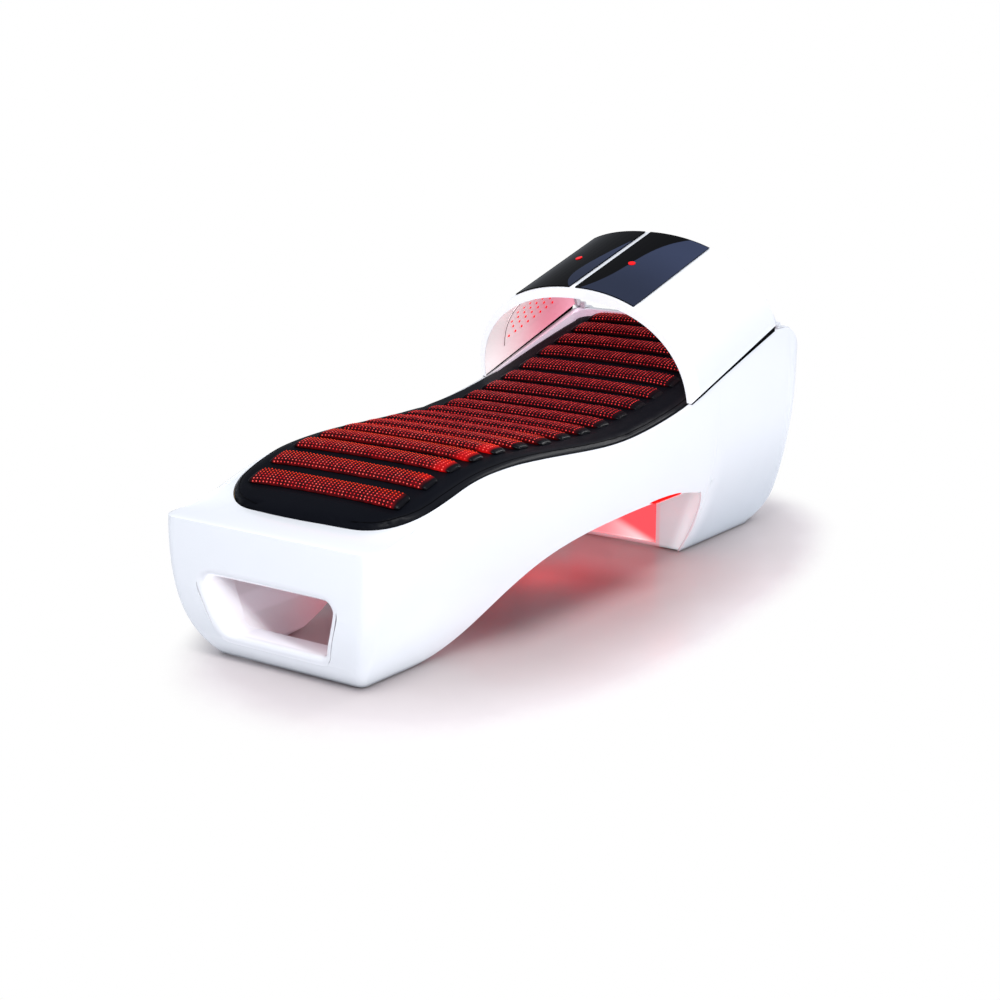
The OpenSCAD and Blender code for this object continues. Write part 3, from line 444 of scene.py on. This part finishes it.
def copied(node, name):
    """A piece of its own from a CAD node's surface, its loose corners joined into quads."""
    piece = bpy.data.objects.new(name, nodes[node].data.copy())
    bpy.context.scene.collection.objects.link(piece)
    take(piece)
    bpy.ops.mesh.customdata_custom_splitnormals_clear()
    bpy.ops.object.mode_set(mode="EDIT")
    bpy.ops.mesh.select_all(action="SELECT")
    bpy.ops.mesh.remove_doubles(threshold=0.00002)
    bpy.ops.mesh.tris_convert_to_quads(face_threshold=0.7, shape_threshold=1.2)
    bpy.ops.mesh.select_all(action="DESELECT")
    bpy.ops.object.mode_set(mode="OBJECT")
    return piece


def crease_corners(piece, angle):
    """Edges sharper than angle keep their corner through subdivision."""
    work = bmesh.new()
    work.from_mesh(piece.data)
    floats = work.edges.layers.float
    layer = floats.get("crease_edge") or floats.new("crease_edge")
    for edge in work.edges:
        if len(edge.link_faces) == 2 and edge.calc_face_angle(0) > math.radians(angle):
            edge[layer] = 1.0
    work.to_mesh(piece.data)
    work.free()


def subdivide(piece, levels):
    take(piece)
    bpy.ops.object.modifier_add(type="SUBSURF")
    modifier = piece.modifiers[-1]
    modifier.levels = modifier.render_levels = levels
    bpy.ops.object.modifier_apply(modifier=modifier.name)


def smoothed(node, name):
    """The node's own form with its facets rounded out and its corners kept."""
    piece = copied(node, name)
    crease_corners(piece, CORNER_ANGLE)
    subdivide(piece, 2)
    bpy.ops.object.shade_smooth_by_angle(angle=math.radians(CORNER_ANGLE))
    return piece


def stand_for(piece, body, slot_name, finish, *replaced):
    """Dresses a finished piece and puts it in the frame in place of CAD nodes."""
    piece.data.materials.clear()
    piece.data.materials.append(finish.material)
    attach(piece, body)
    if replaced:
        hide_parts(*replaced)
    return piece


for node, name, body, slot_name, finish in (
    ("base_shell", "body_moulding", "root", "shell_gloss", shell),
    ("hood_shell", "hood_moulding", "hood", "shell_gloss", hood_white),
    ("hood_liner", "hood_inner_skin", "hood", "liner_satin", inner_skin),
):
    stand_for(smoothed(node, name), body, slot_name, finish, node)


def surface_of(piece):
    return BVHTree.FromPolygons([v.co for v in piece.data.vertices],
                                [list(p.vertices) for p in piece.data.polygons])


def foot_face(z):
    """Where the leaning foot end lies at a height, in metres."""
    return FOOT_OVERHANG * (1 - min(z / FOOT_HEIGHT, 1)) ** 5 - HALF_LENGTH


# The lip's outer edge runs on into the moulding without a seam
lip = smoothed("foot_opening_trim", "foot_opening_lip")
middle_z = 0.5 * (min(v.co.z for v in lip.data.vertices) + max(v.co.z for v in lip.data.vertices))
skin = surface_of(bpy.data.objects["body_moulding"])
for v in lip.data.vertices:
    if v.co.x - foot_face(v.co.z) > 0.0001:
        continue
    outward = Vector((0, v.co.y, (v.co.z - middle_z) * 2.4)).normalized()
    for step in range(14):
        hit = skin.ray_cast(Vector((-1.3, v.co.y, v.co.z)), Vector((1, 0, 0)))[0]
        if hit is not None and abs(hit.x - foot_face(v.co.z)) < 0.003:
            break
        v.co += outward * 0.001
    v.co += outward * 0.0015
    hit = skin.ray_cast(Vector((-1.3, v.co.y, v.co.z)), Vector((1, 0, 0)))[0]
    v.co.x = min(v.co.x, hit.x if hit is not None else v.co.x) - 0.0001
stand_for(lip, "root", "shell_gloss", lip_white, "foot_opening_trim")


# The seal's outer lip fills the seam up to the two outer faces, and sags a little at the rear
SEAL_OUTER, SEAL_INNER = 0.3882, 0.381
SEAL_FRONT, SEAL_LENGTH, SEAL_SAG = 0.353, 0.508, 0.003
SEAM_OVERLAP = 0.0008
seal = copied("rim_seal", "rim_gasket")
heights = {}
for v in seal.data.vertices:
    v.co.y = math.copysign(SEAL_OUTER if abs(v.co.y) > 0.38 else SEAL_INNER, v.co.y)
    heights.setdefault(round(v.co.x, 3), []).append(v.co.z)
for v in seal.data.vertices:
    section = heights[round(v.co.x, 3)]
    if v.co.z < 0.5 * (min(section) + max(section)):
        outer = abs(v.co.y) > 0.5 * (SEAL_OUTER + SEAL_INNER)
        sag = SEAL_SAG * ((v.co.x - SEAL_FRONT) / SEAL_LENGTH) ** 2 if outer else 0
        v.co.z -= SEAM_OVERLAP + sag
    else:
        v.co.z += SEAM_OVERLAP
bpy.ops.object.shade_smooth_by_angle(angle=math.radians(30))
stand_for(seal, "root", "black_rubber", rubber, "rim_seal")


def pane_edge(node):
    """A fine black bead round the upper edge of a roof glass."""
    pane = copied(node, node + "_edge_guide")
    work = bmesh.new()
    work.from_mesh(pane.data)
    bpy.data.objects.remove(pane)
    work.normal_update()
    rim = [e for e in work.edges if sum(face.normal.z > 0.7 for face in e.link_faces) == 1]
    corner = rim[0].verts[0]
    path, used = [corner.co.copy()], set()
    while True:
        step = next((e for e in corner.link_edges if e in rim and e not in used), None)
        if step is None:
            break
        used.add(step)
        corner = step.other_vert(corner)
        path.append(corner.co + Vector((0, 0, -0.0004)))
    work.free()
    return tube(path[1:], 0.0012, node + "_bead", sides=6)


# ---------------------------------------------------------------- padding

def plump(piece, held, cap):
    """Fills a fabric cover with air. held(co) says which corners are sewn down, and cap is
    the most that a corner moves."""
    rest = [v.co.copy() for v in piece.data.vertices]
    group = piece.vertex_groups.new(name="sewn")
    group.add([v.index for v in piece.data.vertices if held(v.co)], 1.0, "REPLACE")
    take(piece)
    bpy.ops.object.modifier_add(type="CLOTH")
    cloth = piece.modifiers[-1]
    s = cloth.settings
    s.quality = 6
    s.mass = 0.25
    s.tension_stiffness = s.compression_stiffness = 18
    s.shear_stiffness = 6
    s.bending_stiffness = 0.4
    s.use_pressure = True
    s.uniform_pressure_force = 4.0
    s.vertex_group_mass = group.name
    s.effector_weights.gravity = 0
    cloth.collision_settings.use_collision = False
    cloth.point_cache.frame_start, cloth.point_cache.frame_end = 1, 20
    for step in range(1, 21):
        bpy.context.scene.frame_set(step)
    bpy.ops.object.modifier_apply(modifier=cloth.name)
    bpy.context.scene.frame_set(1)
    for vertex, start in zip(piece.data.vertices, rest):
        move = vertex.co - start
        if move.length > cap:
            vertex.co = start + move * (cap / move.length)
    piece.vertex_groups.clear()


rib_ends = []
cad_ribs = [v.co for v in nodes["mattress_ribs"].data.vertices]
for i in range(RIB_COUNT):
    x0 = FIRST_RIB + i * RIB_PITCH
    rib_ends.append(max(co.y for co in cad_ribs if x0 - 0.001 < co.x < x0 + RIB_WIDTH + 0.001))


def over_ribs(co):
    """True for the middle of the mattress, which the ribs cover and hold down."""
    i = min(max(int((co.x - FIRST_RIB) // RIB_PITCH), 0), RIB_COUNT - 1)
    return abs(co.y) < rib_ends[i] - 0.01 and FIRST_RIB < co.x < FIRST_RIB + RIBS_LENGTH


mattress = copied("mattress", "mattress_cover")
crease_corners(mattress, 75)
subdivide(mattress, 2)
top = {}
for v in mattress.data.vertices:
    key = round(v.co.x, 2)
    top[key] = max(top.get(key, 0), v.co.z)
plump(mattress, lambda co: over_ribs(co) or co.z < top[round(co.x, 2)] - 0.032, 0.005)
subdivide(mattress, 1)
bpy.ops.object.shade_smooth()
stand_for(mattress, "root", "padding_cover", padding, "mattress")


def tube(path, radius, name, sides=8):
    """A round cord along a closed path of points."""
    cord = bpy.data.curves.new(name, "CURVE")
    cord.dimensions = "3D"
    line = cord.splines.new("POLY")
    line.points.add(len(path) - 1)
    for point, co in zip(line.points, path):
        point.co = (*co, 1)
    line.use_cyclic_u = True
    cord.bevel_depth = radius
    cord.bevel_resolution = sides // 2 - 2
    piece = bpy.data.objects.new(name, cord)
    bpy.context.scene.collection.objects.link(piece)
    take(piece)
    bpy.ops.object.convert(target="MESH")
    piece = bpy.context.object
    bpy.ops.object.shade_smooth()
    return piece


def edge_line(piece, inside):
    """Points on top of a cover, all the way round, at one distance inside its outline."""
    half = {}
    for v in piece.data.vertices:
        key = round(v.co.x / 0.006)
        half[key] = max(half.get(key, 0), v.co.y)
    keys = sorted(half)
    side = [Vector((key * 0.006, half[key])) for key in keys if half[key] > 0.02]
    side = [(side[max(i - 1, 0)] + side[i] + side[min(i + 1, len(side) - 1)]) / 3
            for i in range(len(side))]
    inner = []
    for i, p in enumerate(side):
        run = (side[min(i + 2, len(side) - 1)] - side[max(i - 2, 0)]).normalized()
        inner.append(p + Vector((run.y, -run.x)) * inside)
    first, last = side[0].x + inside, side[-1].x - inside
    inner = [p for p in inner if first < p.x < last and p.y > 0.03]
    loop = inner + [Vector((p.x, -p.y)) for p in reversed(inner)]
    skin = surface_of(piece)
    path = []
    for p in loop:
        hit, normal, _, _ = skin.ray_cast(Vector((p.x, p.y, 1.2)), Vector((0, 0, -1)))
        if hit is not None:
            path.append(hit - normal * 0.0004)
    return path


def edge_map(piece):
    """A UV map of how far each corner lies inside the long sides and below the top, in
    decimetres."""
    half, crest = {}, {}
    for v in piece.data.vertices:
        key = round(v.co.x / 0.01)
        half[key] = max(half.get(key, 0), abs(v.co.y))
        crest[key] = max(crest.get(key, 0), v.co.z)
    layer = piece.data.uv_layers.new(name="edge_map")
    for loop in piece.data.loops:
        co = piece.data.vertices[loop.vertex_index].co
        key = round(co.x / 0.01)
        inside = half[key] - abs(co.y)
        layer.data[loop.index].uv = (10 * inside, 10 * (crest[key] - co.z))


edge_map(mattress)
f = padding
inside, below, _ = f.parts(f.node("ShaderNodeUVMap", {"uv_map": "edge_map"}))
x, y, z = f.axes()
near_edge = inside.smooth(0.34, 0.10) * below.smooth(0.55, 0.30)
f.set("Coat_Weight", near_edge * (x.smooth(-0.93, -0.70) * 0.06 + 0.16))
f.set("Coat_Roughness", 0.36)

for node in ("roof_glass_left", "roof_glass_right"):
    stand_for(pane_edge(node), "hood", "roof_glass", rubber)

piping = tube(edge_line(mattress, 0.014), 0.0016, "mattress_piping")
stand_for(piping, "root", "padding_cover", cord_cover)

ribs = copied("mattress_ribs", "padded_ribs")
subdivide(ribs, 2)
plump(ribs, lambda co: False, 0.0022)
bpy.ops.object.shade_smooth()
stand_for(ribs, "root", "rib_cover", rib_cover, "mattress_ribs")


# ---------------------------------------------------------------- lamps on the ribs

LAMP_RADIUS = 0.0021
LAMP_PITCH = 0.0124
LAMP_ROWS = 8
# Distance from the last lamp of a row to the rib's end
LAMP_BORDER = 0.016
# Depth of a rib's axis below its crown, and distance from there to a place clear of the rib
AXIS_DEPTH, CLEAR = 0.009, 0.045


def one_lamp():
    """A low round lamp, its flat side down: corners and faces."""
    bpy.ops.object.select_all(action="DESELECT")
    bpy.ops.mesh.primitive_uv_sphere_add(segments=8, ring_count=4, radius=LAMP_RADIUS)
    bpy.ops.object.mode_set(mode="EDIT")
    bpy.ops.mesh.select_all(action="SELECT")
    bpy.ops.mesh.bisect(plane_co=(0, 0, 0), plane_no=(0, 0, 1), clear_inner=True)
    bpy.ops.mesh.select_all(action="SELECT")
    bpy.ops.transform.resize(value=(1, 1, 0.7))
    bpy.ops.object.mode_set(mode="OBJECT")
    lamp = bpy.context.object
    lamp.data.transform(lamp.matrix_world)
    corners = [v.co.copy() for v in lamp.data.vertices]
    faces = [list(p.vertices) for p in lamp.data.polygons]
    bpy.data.objects.remove(lamp)
    return corners, faces


def above(surface, x, y):
    """The point of a cover straight below a place high over it, or None."""
    return surface.ray_cast(Vector((x, y, 1.2)), Vector((0, 0, -1)))[0]


def rib_axes(surface, x, y):
    """A place just under a rib's crown, the way along its width, and the way out of its top."""
    crown, front, back = (above(surface, x + d, y) for d in (0, -0.02, 0.02))
    if crown is None or front is None or back is None:
        return None
    along = (back - front).normalized()
    along.y = 0
    up = Vector((-along.z, 0, along.x))
    return crown - up * AXIS_DEPTH, along, up


def row_turns(surface, x):
    """The turns round a rib's axis at which its rows lie, evenly round its crown."""
    axis, along, up = rib_axes(surface, x, 0)
    hits = []
    for step in range(91):
        turn = math.pi * (1 - step / 90)
        out = along * math.cos(turn) + up * math.sin(turn)
        hit = surface.ray_cast(axis + out * CLEAR, -out)[0]
        if hit is not None:
            hits.append((turn, hit))
    lengths = [0]
    for (_, a), (_, b) in zip(hits, hits[1:]):
        lengths.append(lengths[-1] + (b - a).length)
    wanted = [lengths[-1] * (0.02 + 0.96 * k / (LAMP_ROWS - 1)) for k in range(LAMP_ROWS)]
    return [hits[min(range(len(hits)), key=lambda n: abs(lengths[n] - w))][0] for w in wanted]


def lamp_rows(cover, name):
    """Eight rows of lamps round the crown of every rib, pressed a little into the cover."""
    corners, faces = one_lamp()
    surface = surface_of(cover)
    points, polygons = [], []
    for i, end in enumerate(rib_ends):
        columns = int(2 * (end - LAMP_BORDER) / LAMP_PITCH)
        x = FIRST_RIB + i * RIB_PITCH + RIB_WIDTH / 2
        turns = row_turns(surface, x)
        for k in range(columns):
            place = rib_axes(surface, x, (k - (columns - 1) / 2) * LAMP_PITCH)
            if place is None:
                continue
            axis, along, up = place
            for turn in turns:
                out = along * math.cos(turn) + up * math.sin(turn)
                hit, normal, _, _ = surface.ray_cast(axis + out * CLEAR, -out)
                if hit is None:
                    continue
                face_out = normal.to_track_quat("Z", "Y")
                start = len(points)
                points += [hit + face_out @ c - normal * 0.0002 for c in corners]
                polygons += [[start + n for n in face] for face in faces]
    mesh = bpy.data.meshes.new(name)
    mesh.from_pydata(points, [], polygons)
    piece = bpy.data.objects.new(name, mesh)
    bpy.context.scene.collection.objects.link(piece)
    take(piece)
    bpy.ops.object.shade_smooth()
    return piece


rib_lamps = lamp_rows(ribs, "rib_lamps")
stand_for(rib_lamps, "root", "lamp_strip", rib_lamp, "rib_lamp_strips")


# ---------------------------------------------------------------- studio

bpy.ops.object.select_all(action="DESELECT")
bpy.ops.mesh.primitive_plane_add(size=60, location=(0, 0, 0))
floor = bpy.context.object
floor.name = "studio_floor"
f = Finish("studio_floor", Roughness=0.24, IOR=1.2)
x, y, z = f.axes()
# 0 at the middle of the painted soft shadow round the bed, 1 at its border
ring = (abs(x - 0.02) / 1.47) ** 2.5 + (abs(y - x * 0.11 + 0.06) / 0.76) ** 2.5
ring = ring + (f.noise(3, 2) - 0.5) * 0.12
seen = f.tree.nodes.new("ShaderNodeLightPath")
camera_ray = Value(f, seen.outputs["Is Camera Ray"])
# Painted shadow: the floor's colour darkens towards the middle of the ring
painted_shade = f.mix(ring.smooth(0.0, 1.0), (0.42, 0.36, 0.355), (0.78, 0.715, 0.71))
# Painted shade: the floor is darker under the bridge
under = x.smooth(-0.7, -0.35) * x.smooth(0.34, 0.10) * abs(y).smooth(0.42, 0.25)
painted_shade = f.mix(under, painted_shade, (0.22, 0.185, 0.187))
f.set("Base_Color", f.mix(camera_ray, (0.80, 0.80, 0.82), painted_shade))
f.cover(ring.smooth(0.62, 1.0) * camera_ray, (1, 1, 1))
floor.data.materials.append(f.material)

world = bpy.data.worlds.new("studio")
bpy.context.scene.world = world
world.use_nodes = True
tree = world.node_tree
tree.nodes.clear()
out = tree.nodes.new("ShaderNodeOutputWorld")
rays = tree.nodes.new("ShaderNodeLightPath")


def background(colour, strength):
    light = tree.nodes.new("ShaderNodeBackground")
    light.inputs[0].default_value = (*colour, 1)
    light.inputs[1].default_value = strength
    return light.outputs[0]


def for_rays(kind, light, otherwise):
    """One light for the rays of a kind, another for the rest."""
    mixer = tree.nodes.new("ShaderNodeMixShader")
    tree.links.new(rays.outputs[kind], mixer.inputs[0])
    tree.links.new(otherwise, mixer.inputs[1])
    tree.links.new(light, mixer.inputs[2])
    return mixer.outputs[0]


sky = (0.86, 0.91, 1.0)
around = for_rays("Is Glossy Ray", background(sky, 0.4), background(sky, 0.90))
around = for_rays("Is Camera Ray", background((1, 1, 1), 1.0), around)
tree.links.new(around, out.inputs[0])


def softbox(name, place, target, size, power, colour=(1, 1, 1)):
    bpy.ops.object.light_add(type="AREA", location=place)
    lamp = bpy.context.object
    lamp.name = name
    lamp.data.shape = "RECTANGLE"
    lamp.data.size, lamp.data.size_y = size
    lamp.data.energy = power
    lamp.data.color = colour
    lamp.rotation_euler = (Vector(target) - Vector(place)).to_track_quat("-Z", "Y").to_euler()


softbox("key", (-2.4, -1.2, 3.4), (-0.2, 0, 0.4), (1.8, 1.3), 71)
softbox("fill", (-1.4, -4.2, 1.6), (0, 0, 0.4), (2.6, 1.6), 33)
softbox("rim", (3.6, -1.5, 3.0), (0, -0.2, 0.4), (1.2, 0.9), 54)
softbox("underglow", (0.07, -0.02, 0.20), (0.03, -0.02, 0), (0.14, 0.10), 0.95, (1, 0.03, 0.03))
bpy.data.objects["underglow"].visible_glossy = False

scene = bpy.context.scene
scene.view_settings.view_transform = "Standard"
